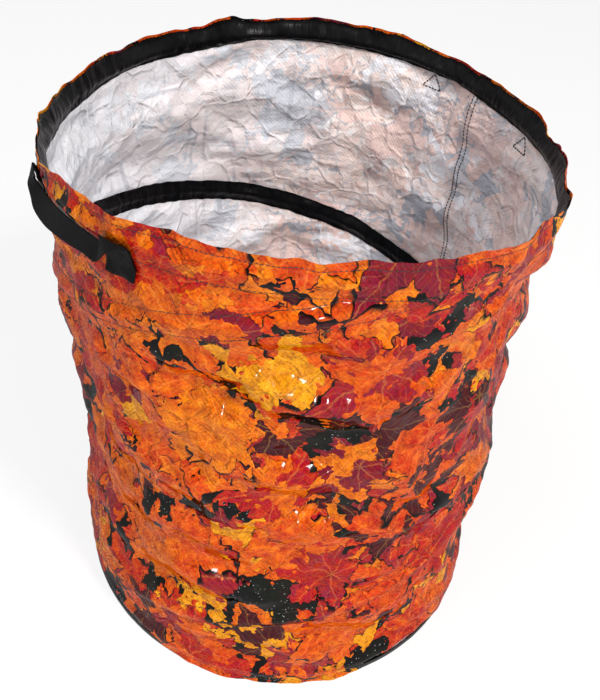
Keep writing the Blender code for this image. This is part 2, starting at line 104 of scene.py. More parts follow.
# Above this height the cloth's edge is turned in and shows its print on both sides
TURNED_IN_HEIGHT = RIM_TAPE_TOP - 0.002

# Handles, as in the solid model
WEBBING = 0.0015
WEBBING_WIDTH = 0.030
HANDLE_DEG = 220.5
HANDLE_HALF_DEG = 17.0
TAIL_TOP = BAG_HEIGHT - 0.029
TAIL_LENGTH = 0.027
TAIL_OFFSET = 0.00225
TAIL_CLEARANCE = 0.3 * MM
LIP_RISE = 0.007
LIP_OFFSETS = {-1: 0.0032, 1: 0.0035}
STAND_FLAT = 0.0015
# The loop's two edges in turn from its far fold to its near one: degrees from the handle's middle,
# then the height from the folds and the offset from the wall, in millimetres
LOOP_UPPER = ((-13.5, 0, 5), (-13.5, 1, 5.5), (-13.3, 0, 5.5), (-12.5, -2, 4.5), (-11, -4, 3.5),
              (-8.5, -5, 2.5), (-4, -5, 2.5), (0, -4, 2.5), (5, -5, 2), (9.5, -6, 2), (12.5, -7, 2.5),
              (14, 1, 5), (13.8, 2.5, 5), (13.5, 0, 4))
LOOP_LOWER = ((-20.4, 0, 4), (-19.5, -2, 5.5), (-17.5, -6, 10), (-15, -9, 15), (-12, -14, 16),
              (-8.5, -19, 15.5), (-4, -22, 13), (0, -22, 10.5), (5, -23, 10), (9.5, -24, 10),
              (12.5, -26, 10), (16, -9, 12), (19.5, 1, 9), (20.4, 0, 6))
# How far each loop's bow stands off the wall, as a share of those offsets
FRONT_STAND = 1.0
REAR_STAND = 0.6
SELVEDGE_ROUNDING = 0.5 * MM
SELVEDGE_DEG = 50.0
TRIANGLE_WIDTH = 0.024
TRIANGLE_HEIGHT = 0.018
TRIANGLE_DROP = 0.020

# Two level cuts part the wall from the cloth at its foot and at its rim
FOOT_CUT = 0.033
RIM_CUT = 0.534
# Rounds in which a line's place on a cut is worked out
CUT_ROUNDS = 5
SPIRAL_CUT_ROUNDS = 15

# Crumples in the laminated cloth: they are flatter beside the seam and along the wires
SEAM_CALM = 0.5
SEAM_CALM_REACH = 0.22
FREE_REACH = 0.040
BUCKLE_SIZE = 0.10
BUCKLE_DEPTH = 0.013
BUCKLE_TWIST = 2.6
BUCKLE_LENGTH = 2.2
BUCKLE_PLACE = Vector((8.70, 8.26, 2.27))
# Flat facets with sharp folds between them: size, depth and the pattern's measure of distance
FACETS = ((0.075, 0.0080, "MANHATTAN"), (0.042, -0.0056, "CHEBYCHEV"), (0.024, 0.0026, "MANHATTAN"))
FACET_MIDDLE = {"MANHATTAN": 0.75, "CHEBYCHEV": 0.42}
FACET_ON_WIRE = 0.18
FACET_FREE = 0.82
FACET_BENDS = 5
SLIP_SIZE = 0.075
SLIP = 0.006
PUCKER_SIZE = 0.016
PUCKER_DEPTH = 0.0014
PUCKER_STRETCH = 6
WIRE_RIDGE = 0.0026
WIRE_RIDGE_HALF = 0.0080
# Waves of the loose edge above the rim's wire: size and depth, and the two rings that they're read from
EDGE_WAVES = ((0.046, 0.0062), (0.017, 0.0026))
EDGE_RISE_RING = 0.1
EDGE_SWAY_RING = 0.3
RIM_GATHER = 0.0065
RIM_GATHER_FOOT = 0.42
RIM_GATHER_END = RIM_TAPE_WIDTH / 2 - 2 * MM

# Pleats of the casing tapes: their size round the bag and up it, and the depth that they give
PLEAT = (0.009, 0.05)
CREASE = (0.018, 0.04)
CREASE_SHARE = 0.7
BILLOW = (0.034, 0.07)
PLEAT_DEPTH = 1.5 * MM
BILLOW_DEPTH = 1.4 * MM
CROWN_PLEAT_DEPTH = 0.5 * MM
HEM_RIPPLE = 1.1 * MM

# The floor is a little slack, and cut from another length of the print
FLOOR_RINGS = 12
FLOOR_SLACK = 0.0025
FLOOR_SLACK_SIZE = 0.05
FLOOR_PRINT_SHIFT = 0.60

# Folded tape round the foot's edge: its section, as depth and height in millimetres, and its gathers
BINDING_SECTION = ((0.0, 0.0), (0.0, 6.6), (0.5, 7.0), (1.1, 6.6), (1.35, 5.0), (1.2, 3.0), (1.35, 1.2),
                   (1.0, 0.0))
BINDING_DEPTH = 1.35 * MM
BINDING_GATHER = 0.0012
BINDING_GATHER_SIZE = 0.012
BINDING_GATHER_SQUEEZE = 0.3

# The real weaves and twists are finer than these and wouldn't show, so they're drawn this coarse:
# the laminate's woven tapes, their hatch on its back, and the satin's, webbing's and binding's ribs
TAPE_PITCH = 0.0025
HATCH_PITCH = 0.004
TWILL_PITCH = 2.0 * MM
RIB_PITCH = 2.0 * MM
PICK_PITCH = 1.1 * MM
TWIST_PITCH = 0.8 * MM
GROSGRAIN_PITCH = 1.2 * MM
# A wave pattern's scale times its pitch
WAVE_SCALE = 0.35

# Thread, pulled a little into the cloth; the seam rows stop short of the spiral's tape by the gap
THREAD_RADIUS = 0.00038
THREAD_RISE = THREAD_RADIUS * 0.4
SEAM_THREAD_RADIUS = 0.0008
STITCH_LENGTH = 0.0037
STITCH_PITCH = 0.0042
SEAM_ROW_GAP = 4 * MM

# Mesh fineness, and the angle from which an edge is drawn sharp
CUT_EDGE_DEG = 60.0
WALL_COLUMNS = 400
WALL_ROWS = 106
FOOT_ROWS = 7
RIM_COLUMNS = 800
RIM_ROWS = 20
TAPE_STEP_DEG = 0.5
TAPE_ROWS = 14
WIRE_STEP_DEG = 3.0
LOOP_STEPS = 5
TAIL_COLUMNS = 22
WEBBING_ROWS = 14

# Camera, fitted to the outlines of the rim and the foot
CAMERA_PLACE = (0.00418, -0.76916, 1.00367)
CAMERA_DOWN_DEG = 42.08
CAMERA_ROLL_DEG = 6.49
CAMERA_LENS = 45.53


# Shape of the standing cloth

def smooth(share):
    share = min(max(share, 0.0), 1.0)
    return share * share * (3 - 2 * share)


def degrees_for(length):
    return math.degrees(length / BAG_RADIUS)


def apart(angle, other):
    """The degrees between two angles, the short way round."""
    return abs((angle - other + 180.0) % 360.0 - 180.0)


def spiral_height(angle):
    climb = (angle - SPIRAL_FOOT_DEG) / (SPIRAL_HEAD_DEG - SPIRAL_FOOT_DEG)
    return BASE_HOOP_HEIGHT + (RIM_HOOP_HEIGHT - BASE_HOOP_HEIGHT) * climb


def wire_heights(angle):
    """The heights at which a wire crosses one upright line of the cloth."""
    found = [BASE_HOOP_HEIGHT, RIM_HOOP_HEIGHT]
    for turn in (-720.0, -360.0, 0.0, 360.0):
        height = spiral_height(angle + turn)
        if BASE_HOOP_HEIGHT < height < RIM_HOOP_HEIGHT:
            found.append(height)
    return sorted(found)


def taut_radius(turn, height, stops):
    """The cloth is drawn in between its wires, with slow twisting folds."""
    for low, high in zip(stops, stops[1:]):
        if low < height < high:
            belly = 4 * (height - low) * (high - height) / (high - low)
            fold = math.sin(FOLD_COUNT * turn + math.radians(FOLD_TWIST_DEG) * height / BAG_HEIGHT)
            return BAG_RADIUS - belly * (SAG_SHARE + FOLD_SHARE * fold)
    return BAG_RADIUS


def on_tube(turn, height):
    return Vector((BAG_RADIUS * math.cos(turn), BAG_RADIUS * math.sin(turn), height))


def slack(height, stops):
    """0 on a wire and 1 in the free cloth between two wires."""
    if height > RIM_HOOP_HEIGHT:
        return 0.0
    return smooth(min(abs(height - stop) for stop in stops) / FREE_REACH)


def crumple(turn, height, stops):
    """How far the stiff laminate stands out of its smooth shape at one place."""
    place = on_tube(turn, height)
    away = min(abs(height - stop) for stop in stops)
    from_seam = apart(math.degrees(turn), SEAM_DEG) / degrees_for(SEAM_CALM_REACH)
    free = slack(height, stops) * (SEAM_CALM + (1 - SEAM_CALM) * smooth(from_seam))
    twisted = on_tube(turn + BUCKLE_TWIST * height, height * BUCKLE_LENGTH)
    out = BUCKLE_DEPTH * free * noise.noise((twisted + BUCKLE_PLACE) / BUCKLE_SIZE)
    bend = noise.noise_vector(place / BUCKLE_SIZE) * BUCKLE_SIZE / FACET_BENDS
    for size, depth, metric in FACETS:
        near = noise.voronoi((place + bend + BUCKLE_PLACE) / size, distance_metric=metric)[0][0]
        out += depth * (FACET_ON_WIRE + FACET_FREE * free) * (near - FACET_MIDDLE[metric])
    ripple = noise.noise(Vector((place.x, place.y, height / PUCKER_STRETCH)) / PUCKER_SIZE)
    out += PUCKER_DEPTH * ripple * math.exp(-away / PUCKER_SIZE)
    out += WIRE_RIDGE * math.exp(-(away / WIRE_RIDGE_HALF) ** 2)
    return out


def cloth_point(angle, height, offset=0.0, crumpled=1.0):
    """Lays a point of the flat cloth on the standing bag."""
    turn = math.radians(angle)
    stops = wire_heights((angle + 180.0) % 360.0 - 180.0)
    radius = taut_radius(turn, height, stops) + crumple(turn, height, stops) * crumpled + offset
    rise = height / BAG_HEIGHT
    uneven = -RIM_SADDLE * math.cos(2 * turn) * rise**2 - RIM_TILT * math.sin(turn) * rise
    behind = (1 + math.cos(turn - math.radians(BACK_LIFT_DEG))) / 2
    above = height + uneven + BACK_LIFT * 4 * rise * (1 - rise) * behind
    gather = smooth((height - RIM_GATHER_FOOT) / (RIM_TAPE_FOOT - RIM_GATHER_FOOT))
    gather *= 1 - smooth((height - RIM_TAPE_FOOT) / RIM_GATHER_END)
    above += RIM_GATHER * gather * behind**2
    slip = noise.noise_vector(on_tube(turn, height) / SLIP_SIZE) * SLIP * slack(height, stops) * crumpled
    turn += slip.x / BAG_RADIUS
    above += slip.y
    if height > RIM_HOOP_HEIGHT:
        loose = (height - RIM_HOOP_HEIGHT) / (BAG_HEIGHT - RIM_HOOP_HEIGHT)
        for size, depth in EDGE_WAVES:
            above += depth * loose * noise.noise(on_tube(turn, EDGE_RISE_RING) / size)
            radius += depth * loose * noise.noise(on_tube(turn, EDGE_SWAY_RING) / size)
    x = radius * math.cos(turn) + RIM_LEAN_X * rise
    y = radius * math.sin(turn) + RIM_LEAN_Y * rise
    return Vector((x, y, above + WALL_LIFT))


def level_cut(angle, level):
    """The height up the cloth at which a cut square to the lean crosses one upright line."""
    height = level
    for _ in range(CUT_ROUNDS):
        height += level - cloth_point(angle, height).dot(LEAN)
    return height


def spiral_cut(away=0.0):
    """Where a line at one height from the spiral's middle crosses the upper cut, in degrees along it."""
    angle = SPIRAL_HEAD_DEG
    for _ in range(SPIRAL_CUT_ROUNDS):
        angle = SPIRAL_FOOT_DEG + (level_cut(angle, RIM_CUT) - away - BASE_HOOP_HEIGHT) / SPIRAL_CLIMB
    return angle


def mean_cut(level):
    angles = range(0, 360, 10)
    return sum(level_cut(angle, level) for angle in angles) / len(angles)


def lap_room(angle):
    """The extra depth over the lapped seam."""
    return (CLOTH + 2 * CLEARANCE) * max(0.0, 1 - apart(angle, SEAM_DEG) / degrees_for(2 * SEAM_LAP))


def sleeve_room(angle):
    """The extra depth over the crimped sleeves near the spiral's two ends."""
    middles = (SPIRAL_FOOT_DEG + SLEEVE_INSET_DEG, SPIRAL_HEAD_DEG - SLEEVE_INSET_DEG)
    away = min(apart(angle, middle) for middle in middles)
    return SLEEVE_ROOM * smooth(2 - away / degrees_for(SLEEVE_REACH))


# Mesh tools

def finished(name, made, materials, flat=None):
    """Turns a bmesh into an object, with each corner's place on the flat cloth if given."""
    mesh = bpy.data.meshes.new(name)
    made.to_mesh(mesh)
    made.free()
    for face in mesh.polygons:
        face.use_smooth = True
    for look in materials:
        mesh.materials.append(look)
    if flat:
        attribute = mesh.attributes.new("flat", "FLOAT_VECTOR", "POINT")
        for place, value in zip(attribute.data, flat):
            place.vector = value
    piece = bpy.data.objects.new(name, mesh)
    bpy.context.scene.collection.objects.link(piece)
    return piece


def thicken(piece, thickness, inner_slot=0):
    """Gives a cloth its thickness, half to each side, with its own finish on the inner side."""
    solid = piece.modifiers.new("Thickness", "SOLIDIFY")
    solid.thickness = thickness
    solid.offset = 0.0
    solid.material_offset = inner_slot
    return piece


def apply_modifiers(piece):
    graph = bpy.context.evaluated_depsgraph_get()
    mesh = bpy.data.meshes.new_from_object(piece.evaluated_get(graph), preserve_all_data_layers=True,
                                           depsgraph=graph)
    piece.modifiers.clear()
    piece.data = mesh
    return piece


def cloth_grid(columns, rows, place_of):
    """A grid of (column share, row share), laid out by place_of, which also gives the flat place."""
    grid = bmesh.new()
    bmesh.ops.create_grid(grid, x_segments=columns, y_segments=rows, size=0.5)
    flat = []
    for vert in grid.verts:
        vert.co, on_cloth = place_of(vert.co.x + 0.5, vert.co.y + 0.5)
        flat.append(on_cloth)
    return grid, flat


def point_outwards(grid):
    """Turns a round sheet's faces so that its front is the bag's outside, going by a face off its seam."""
    grid.faces.ensure_lookup_table()
    face = grid.faces[len(grid.faces) // 3]
    outwards = face.calc_center_median()
    outwards.z = 0.0
    face.normal_update()
    if face.normal.dot(outwards) < 0:
        bmesh.ops.reverse_faces(grid, faces=grid.faces[:])


# Cloth panels

def wall_sheet(name, low_of, high_of, columns, rows, materials):
    """Part of the printed panel, rolled into a tube whose last edge laps inside the first."""
    lap = degrees_for(SEAM_LAP)
    angles = [SEAM_DEG + (360.0 + lap) * k / columns for k in range(columns + 1)]
    edges = [(low_of(angle), high_of(angle)) for angle in angles]

    def place_of(along, up):
        column = round(along * columns)
        angle = angles[column]
        low, high = edges[column]
        height = low + (high - low) * up
        tucked = smooth((angle - SEAM_DEG - 360.0 + lap) / lap)
        point = cloth_point(angle, height, -(CLOTH + CLEARANCE) * tucked)
        return point, (math.radians(angle - SEAM_DEG) * BAG_RADIUS, height, 0.0)

    grid, flat = cloth_grid(columns, rows, place_of)
    point_outwards(grid)
    sheet = apply_modifiers(thicken(finished(name, grid, materials, flat), CLOTH, inner_slot=1))
    sheet.data.set_sharp_from_angle(angle=math.radians(CUT_EDGE_DEG))
    places = sheet.data.attributes["flat"].data
    for face in sheet.data.polygons:
        if min(places[vert].vector.y for vert in face.vertices) > TURNED_IN_HEIGHT:
            face.material_index = 0
    return sheet


def floor_sheet(materials):
    """The round floor of the bag, a little slack between its bound edges."""
    disc = bmesh.new()
    radius = BAG_RADIUS + CLOTH / 2
    bmesh.ops.create_circle(disc, cap_ends=True, segments=96, radius=radius)
    for _ in range(FLOOR_RINGS):
        middle = max(disc.faces, key=lambda face: face.calc_area())
        bmesh.ops.inset_region(disc, faces=[middle], thickness=radius / (FLOOR_RINGS + 1.5),
                               use_even_offset=True)
    flat = []
    for vert in disc.verts:
        away = vert.co.length / radius
        loose = 0.5 + 0.5 * noise.noise(vert.co / FLOOR_SLACK_SIZE)
        vert.co.z = CLOTH / 2 + FLOOR_SLACK * (1 - away**2) * loose
        flat.append((vert.co.x + FLOOR_PRINT_SHIFT, vert.co.y, 0.0))
    disc.normal_update()
    bmesh.ops.reverse_faces(disc, faces=[face for face in disc.faces if face.normal.z > 0])
    sheet = finished("floor_cloth", disc, materials, flat)
    return apply_modifiers(thicken(sheet, CLOTH, inner_slot=1))


def foot_binding(look):
    """The bound edge round the foot: a folded tape, gathered here and there."""
    inner = BAG_RADIUS + CLOTH / 2 + CLEARANCE
    band = bmesh.new()
    verts = [band.verts.new((inner + out * MM, 0.0, up * MM)) for out, up in BINDING_SECTION]
    edges = [band.edges.new((verts[k], verts[(k + 1) % len(verts)])) for k in range(len(verts))]
    bmesh.ops.spin(band, geom=verts + edges, cent=(0.0, 0.0, 0.0), axis=(0.0, 0.0, 1.0),
                   angle=math.radians(360.0), steps=360, use_merge=True)
    bmesh.ops.recalc_face_normals(band, faces=band.faces[:])
    flat = []
    for vert in band.verts:
        turn = math.atan2(vert.co.y, vert.co.x)
        place = Vector((vert.co.x, vert.co.y, vert.co.z * BINDING_GATHER_SQUEEZE))
        gather = noise.noise(place / BINDING_GATHER_SIZE)
        share = (vert.co.xy.length - inner) / BINDING_DEPTH
        vert.co.xy *= 1 + BINDING_GATHER * gather * max(share, 0.0)
        flat.append((turn * BAG_RADIUS, vert.co.z, 0.0))
    return finished("foot_binding", band, [look], flat)


# Casing tapes

def tape_sheet(name, start, end, centre_of, width, look):
    """A casing tape sewn inside over its wire, drawn tight over it and puckered along its two hems."""
    columns = round((end - start) / TAPE_STEP_DEG)
    half = width / 2
    reach = half - TAPE_HEM

    def place_of(along, up):
        angle = start + (end - start) * along
        across = (2 * up - 1) * half
        height = min(max(centre_of(angle) + across, BASE_TAPE_INSET), RIM_TAPE_TOP)
        if height > RIM_HOOP_HEIGHT:
            height += RIM_TAPE_SLACK * (height - RIM_HOOP_HEIGHT) / half
        tent = 1 - (math.hypot(min(abs(across), reach), WIRE_RADIUS) - WIRE_RADIUS) / (
            math.hypot(reach, WIRE_RADIUS) - WIRE_RADIUS)
        turn = math.radians(angle)
        ring = on_tube(turn, 0.0)
        upward = Vector((0.0, 0.0, height))
        pleat, crease, billow = (noise.noise(ring / size_round + upward / size_up)
                                 for size_round, size_up in (PLEAT, CREASE, BILLOW))
        pleat += CREASE_SHARE * abs(crease)
        side = tent * (1 - tent) * 4
        depth = HEM_DEPTH + (CROWN_DEPTH - HEM_DEPTH) * tent
        depth += side * (PLEAT_DEPTH * pleat + BILLOW_DEPTH * billow)
        depth += tent * CROWN_PLEAT_DEPTH * (1 + pleat)
        ripple = HEM_RIPPLE * pleat * (1 - tent)
        depth += min(2 * tent, 1.0) * sleeve_room(angle)
        point = cloth_point(angle, height + ripple, -(max(depth, HEM_DEPTH) + lap_room(angle)),
                            crumpled=1 - tent)
        return point, (turn * BAG_RADIUS, across, 0.0)

    grid, flat = cloth_grid(columns, TAPE_ROWS, place_of)
    point_outwards(grid)
    band = apply_modifiers(thicken(finished(name, grid, [look], flat), TAPE))
    band.data.set_sharp_from_angle(angle=math.radians(CUT_EDGE_DEG))
    return band


# Wire

def wire_tube(name, start, end, look):
    """Part of the spiral's wire as a mesh."""
    route = []
    steps = math.ceil((end - start) / WIRE_STEP_DEG)
    for k in range(steps + 1):
        angle = start + (end - start) * k / steps
        height = max(spiral_height(angle), BASE_HOOP_HEIGHT + WIRE_PITCH)
        height = min(height, RIM_HOOP_HEIGHT - WIRE_PITCH)
        route.append(cloth_point(angle, height, -(WIRE_DEPTH + lap_room(angle)), crumpled=0.0))
    curve = bpy.data.curves.new(name, "CURVE")
    curve.dimensions = "3D"
    curve.bevel_depth = WIRE_RADIUS
    curve.bevel_resolution = 2
    curve.use_fill_caps = True
    spline = curve.splines.new("POLY")
    spline.points.add(len(route) - 1)
    for point, place in zip(spline.points, route):
        point.co = (*place, 1.0)
    tube = bpy.data.objects.new(name + "_curve", curve)
    bpy.context.scene.collection.objects.link(tube)
    graph = bpy.context.evaluated_depsgraph_get()
    wire = bmesh.new()
    wire.from_mesh(tube.evaluated_get(graph).to_mesh())
    bpy.data.objects.remove(tube)
    return finished(name, wire, [look])


# Handles

def smooth_line(points, steps):
    """A curve through the points, with the given steps between each two."""
    line = []
    last = len(points) - 1
    for k in range(last):
        before, start = points[max(k - 1, 0)], points[k]
        end, after = points[k + 1], points[min(k + 2, last)]
        bend = 2 * before - 5 * start + 4 * end - after
        twist = 3 * start - 3 * end + after - before
        for step in range(steps):
            t = step / steps
            line.append(0.5 * (2 * start + (end - before) * t + bend * t**2 + twist * t**3))
    line.append(points[-1])
    return line


def webbing_sheet(name, columns, place_of, look):
    """A length of webbing with its thickness and rounded selvedges."""
    grid, flat = cloth_grid(columns, WEBBING_ROWS, place_of)
    strip = finished(name, grid, [look], flat)
    thicken(strip, WEBBING)
    rounding = strip.modifiers.new("Selvedge", "BEVEL")
    rounding.width = SELVEDGE_ROUNDING
    rounding.segments = 3
    rounding.limit_method = "ANGLE"
    rounding.angle_limit = math.radians(SELVEDGE_DEG)
    return apply_modifiers(strip)


def strap(name, centre_deg, stand, look):
    """The loop: it folds out over both tails, and its bow lies tilted against the wall."""
    top = TAIL_TOP + LIP_RISE + CLEARANCE
    edges = []
    for course in (LOOP_UPPER, LOOP_LOWER):
        points = []
        for away, up, out in course:
            offset = STAND_FLAT + (out * MM - STAND_FLAT) * stand
            points.append(cloth_point(centre_deg + away, top + up * MM, offset))
        edges.append(smooth_line(points, LOOP_STEPS))
    upper, lower = edges
    count = len(upper) - 1
    middles = [(a + b) / 2 for a, b in zip(upper, lower)]
    reach = [0.0]
    for a, b in zip(middles, middles[1:]):
        reach.append(reach[-1] + (b - a).length)

    def place_of(along, up):
        k = round(along * count)
        return upper[k].lerp(lower[k], up), (reach[k], (up - 0.5) * WEBBING_WIDTH, 0.0)

    return webbing_sheet(name, count, place_of, look)


def tail(name, side, centre_deg, look):
    """One end of the webbing, sewn on the wall, whose lip turns out to the loop."""
    middle = centre_deg + side * HANDLE_HALF_DEG
    half = degrees_for(WEBBING_WIDTH) / 2

    def place_of(along, up):
        rise = -TAIL_LENGTH + (TAIL_LENGTH + LIP_RISE) * along
        offset = TAIL_OFFSET + TAIL_CLEARANCE + (LIP_OFFSETS[side] - TAIL_OFFSET) * smooth(rise / LIP_RISE)
        return (cloth_point(middle + (2 * up - 1) * half, TAIL_TOP + rise, offset),
                (rise, (up - 0.5) * WEBBING_WIDTH, 0.0))

    return webbing_sheet(name, TAIL_COLUMNS, place_of, look)


# Stitches

def stitch_row(name, route_of, start, end, look, thick=THREAD_RADIUS):
    """A row of single stitches along route_of, from one distance to another."""
    count = max(1, round((end - start) / STITCH_PITCH))
    row = bmesh.new()
    template = bmesh.new()
    bmesh.ops.create_uvsphere(template, u_segments=6, v_segments=4, radius=1.0)
    mesh = bpy.data.meshes.new("stitch")
    template.to_mesh(mesh)
    template.free()
    for k in range(count):
        middle = start + (end - start) * (k + 0.5) / count
        a, b = route_of(middle - STITCH_LENGTH / 2), route_of(middle + STITCH_LENGTH / 2)
        along = b - a
        turned = along.to_track_quat("Z", "X").to_matrix().to_4x4()
        size = Matrix.Diagonal((thick, thick, along.length / 2, 1.0))
        before = len(row.verts)
        row.from_mesh(mesh)
        row.verts.ensure_lookup_table()
        fresh = row.verts[before:]
        bmesh.ops.transform(row, matrix=Matrix.Translation((a + b) / 2) @ turned @ size, verts=fresh)
    bpy.data.meshes.remove(mesh)
    return finished(name, row, [look])


def around(height, offset):
    """The route round the bag at one height, by distance."""
    return lambda distance: cloth_point(SEAM_DEG + degrees_for(distance), height, offset)


def along_spiral(away, offset):
    """The route beside the spiral's middle line, by distance round the bag."""
    def route_of(distance):
        angle = degrees_for(distance)
        return cloth_point(angle, spiral_height(angle) + away, offset)

    return route_of


def triangle_stitches(name, angle, height, offset, look):
    """A small sewn triangle that stands on its longest side."""
    half, foot = TRIANGLE_WIDTH / 2, -TRIANGLE_HEIGHT / 3
    corners = [(-half, foot), (half, foot), (0.0, foot + TRIANGLE_HEIGHT)]
    sides = list(zip(corners, corners[1:] + corners[:1]))
    lengths = [math.dist(a, b) for a, b in sides]

    def route_of(distance):
        for (a, b), length in zip(sides, lengths):
            if distance <= length:
                share = distance / length
                along = a[0] + (b[0] - a[0]) * share
                up = a[1] + (b[1] - a[1]) * share
                return cloth_point(angle + degrees_for(along), height + up, offset)
            distance -= length
        return cloth_point(angle - degrees_for(half), height + foot, offset)

    return stitch_row(name, route_of, 0.0, sum(lengths), look, thick=SEAM_THREAD_RADIUS)


# Material tools

def colour(hex_code):
    """Turns an sRGB hex colour to linear."""
    parts = [int(hex_code[k:k + 2], 16) / 255 for k in (1, 3, 5)]
    linear = [part / 12.92 if part <= 0.04045 else ((part + 0.055) / 1.055) ** 2.4 for part in parts]
    return (*linear, 1.0)


def add(tree, kind, *inputs, out=0, stops=None, stepped=False, **settings):
    """Adds a node and gives one of its outputs, or all of them if out is None.

    The kind may end with the node's operation. Inputs come in their order, or by name in one dict.
    """
    kind, *operation = kind.split()
    node = tree.nodes.new(kind if kind.startswith("NodeGroup") else "ShaderNode" + kind)
    if operation:
        node.operation = operation[0]
    for name, value in settings.items():
        setattr(node, name, value)
    named = inputs and isinstance(inputs[0], dict)
    for key, value in (inputs[0].items() if named else enumerate(inputs)):
        if isinstance(value, bpy.types.NodeSocket):
            tree.links.new(value, node.inputs[key])
        else:
            node.inputs[key].default_value = value
    if stops:
        node.color_ramp.interpolation = "CONSTANT" if stepped else "LINEAR"
        elements = node.color_ramp.elements
        while len(elements) < len(stops):
            elements.new(0.5)
        for element, (position, code) in zip(elements, stops):
            element.position = position
            element.color = colour(code)
    return node.outputs if out is None else node.outputs[out]


def new_group(name, output, inputs=None):
    """A node group with one output and its inputs, each by name and kind."""
    tree = bpy.data.node_groups.new(name, "ShaderNodeTree")
    for socket, kind in (inputs or {}).items():
        tree.interface.new_socket(socket, in_out="INPUT", socket_type="NodeSocket" + kind)
    tree.interface.new_socket(output[0], in_out="OUTPUT", socket_type="NodeSocket" + output[1])
    return tree


def new_material(name):
    made = bpy.data.materials.new(name)
    made.use_nodes = True
    return made, made.node_tree


def surface(made, base, normal, levels):
    """Links the shader's colour and normal and sets its constant levels."""
    shader = made.node_tree.nodes["Principled BSDF"]
    made.node_tree.links.new(base, shader.inputs["Base Color"])
    if normal:
        made.node_tree.links.new(normal, shader.inputs["Normal"])
    for socket, level in levels.items():
        shader.inputs[socket].default_value = level
    return made


# Leaf print

LEAF_COLOURS = ((0.0, "#CB4A09"), (0.10, "#D7600A"), (0.20, "#AE2712"), (0.29, "#DA720B"), (0.38, "#951A1A"),
                (0.46, "#D0540A"), (0.55, "#7E1420"), (0.62, "#E0930F"), (0.69, "#BA360E"), (0.78, "#D5650A"),
                (0.87, "#470C12"), (0.93, "#CF5409"))
GROUND_COLOURS = ((0.0, "#030304"), (0.48, "#050506"), (0.56, "#0C1209"), (0.66, "#20110B"), (1.0, "#2E100D"))
LEAF_SHADOW = "#080303"
LEAF_VEIN = "#F7C254"
# A leaf lies in a cell of its grid, in shares of the cell's side: how far below its middle it starts,
# how much leaves differ in size, and their outline
LEAF_DROP = 0.10
LEAF_GROWTH = 0.10
LOBE_SHARPNESS = 0.8
TOOTH_DEG = 5.3
FALL_RATE = 0.95
FALL_SWING = 0.31
SHIFT_RATIO = 1.618
# A range gives a pattern's lowest and highest level, then what they turn into: 0 and 1 if left out
EDGE_RANGE = (-0.3 * MM, 0.3 * MM)
SHADOW_RANGE = (-0.2, 1.0, -0.8 * MM, -9.0 * MM)
SHADOW_WAY = (0.55, -0.83, 0.0)
SHADOW_DEPTH = 1.7
HUE_RANGE = (0.3, 0.7, 0.478, 0.512)
MIDDLE_VALUE = 1.06
MIDDLE_GLOW = 0.22
MOTTLE_DEPTH = 1.7
RIB_RANGE = (0.35 * MM, 1.1 * MM, 1.0, 0.0)
BRANCH_RANGE = (0.15 * MM, 0.8 * MM, 0.5, 0.0)
BRANCH_SLOPE = 1.1
BRANCH_HALF_PITCH = 5.0 * MM
VEIN_SHARE = 0.13
# Painted highlight: the range of the pale specks painted as glints on the dark ground
PAINTED_GLINT_RANGE = (0.10, 0.16, 0.7, 0.0)
PRINT_WANDER = 22 * MM


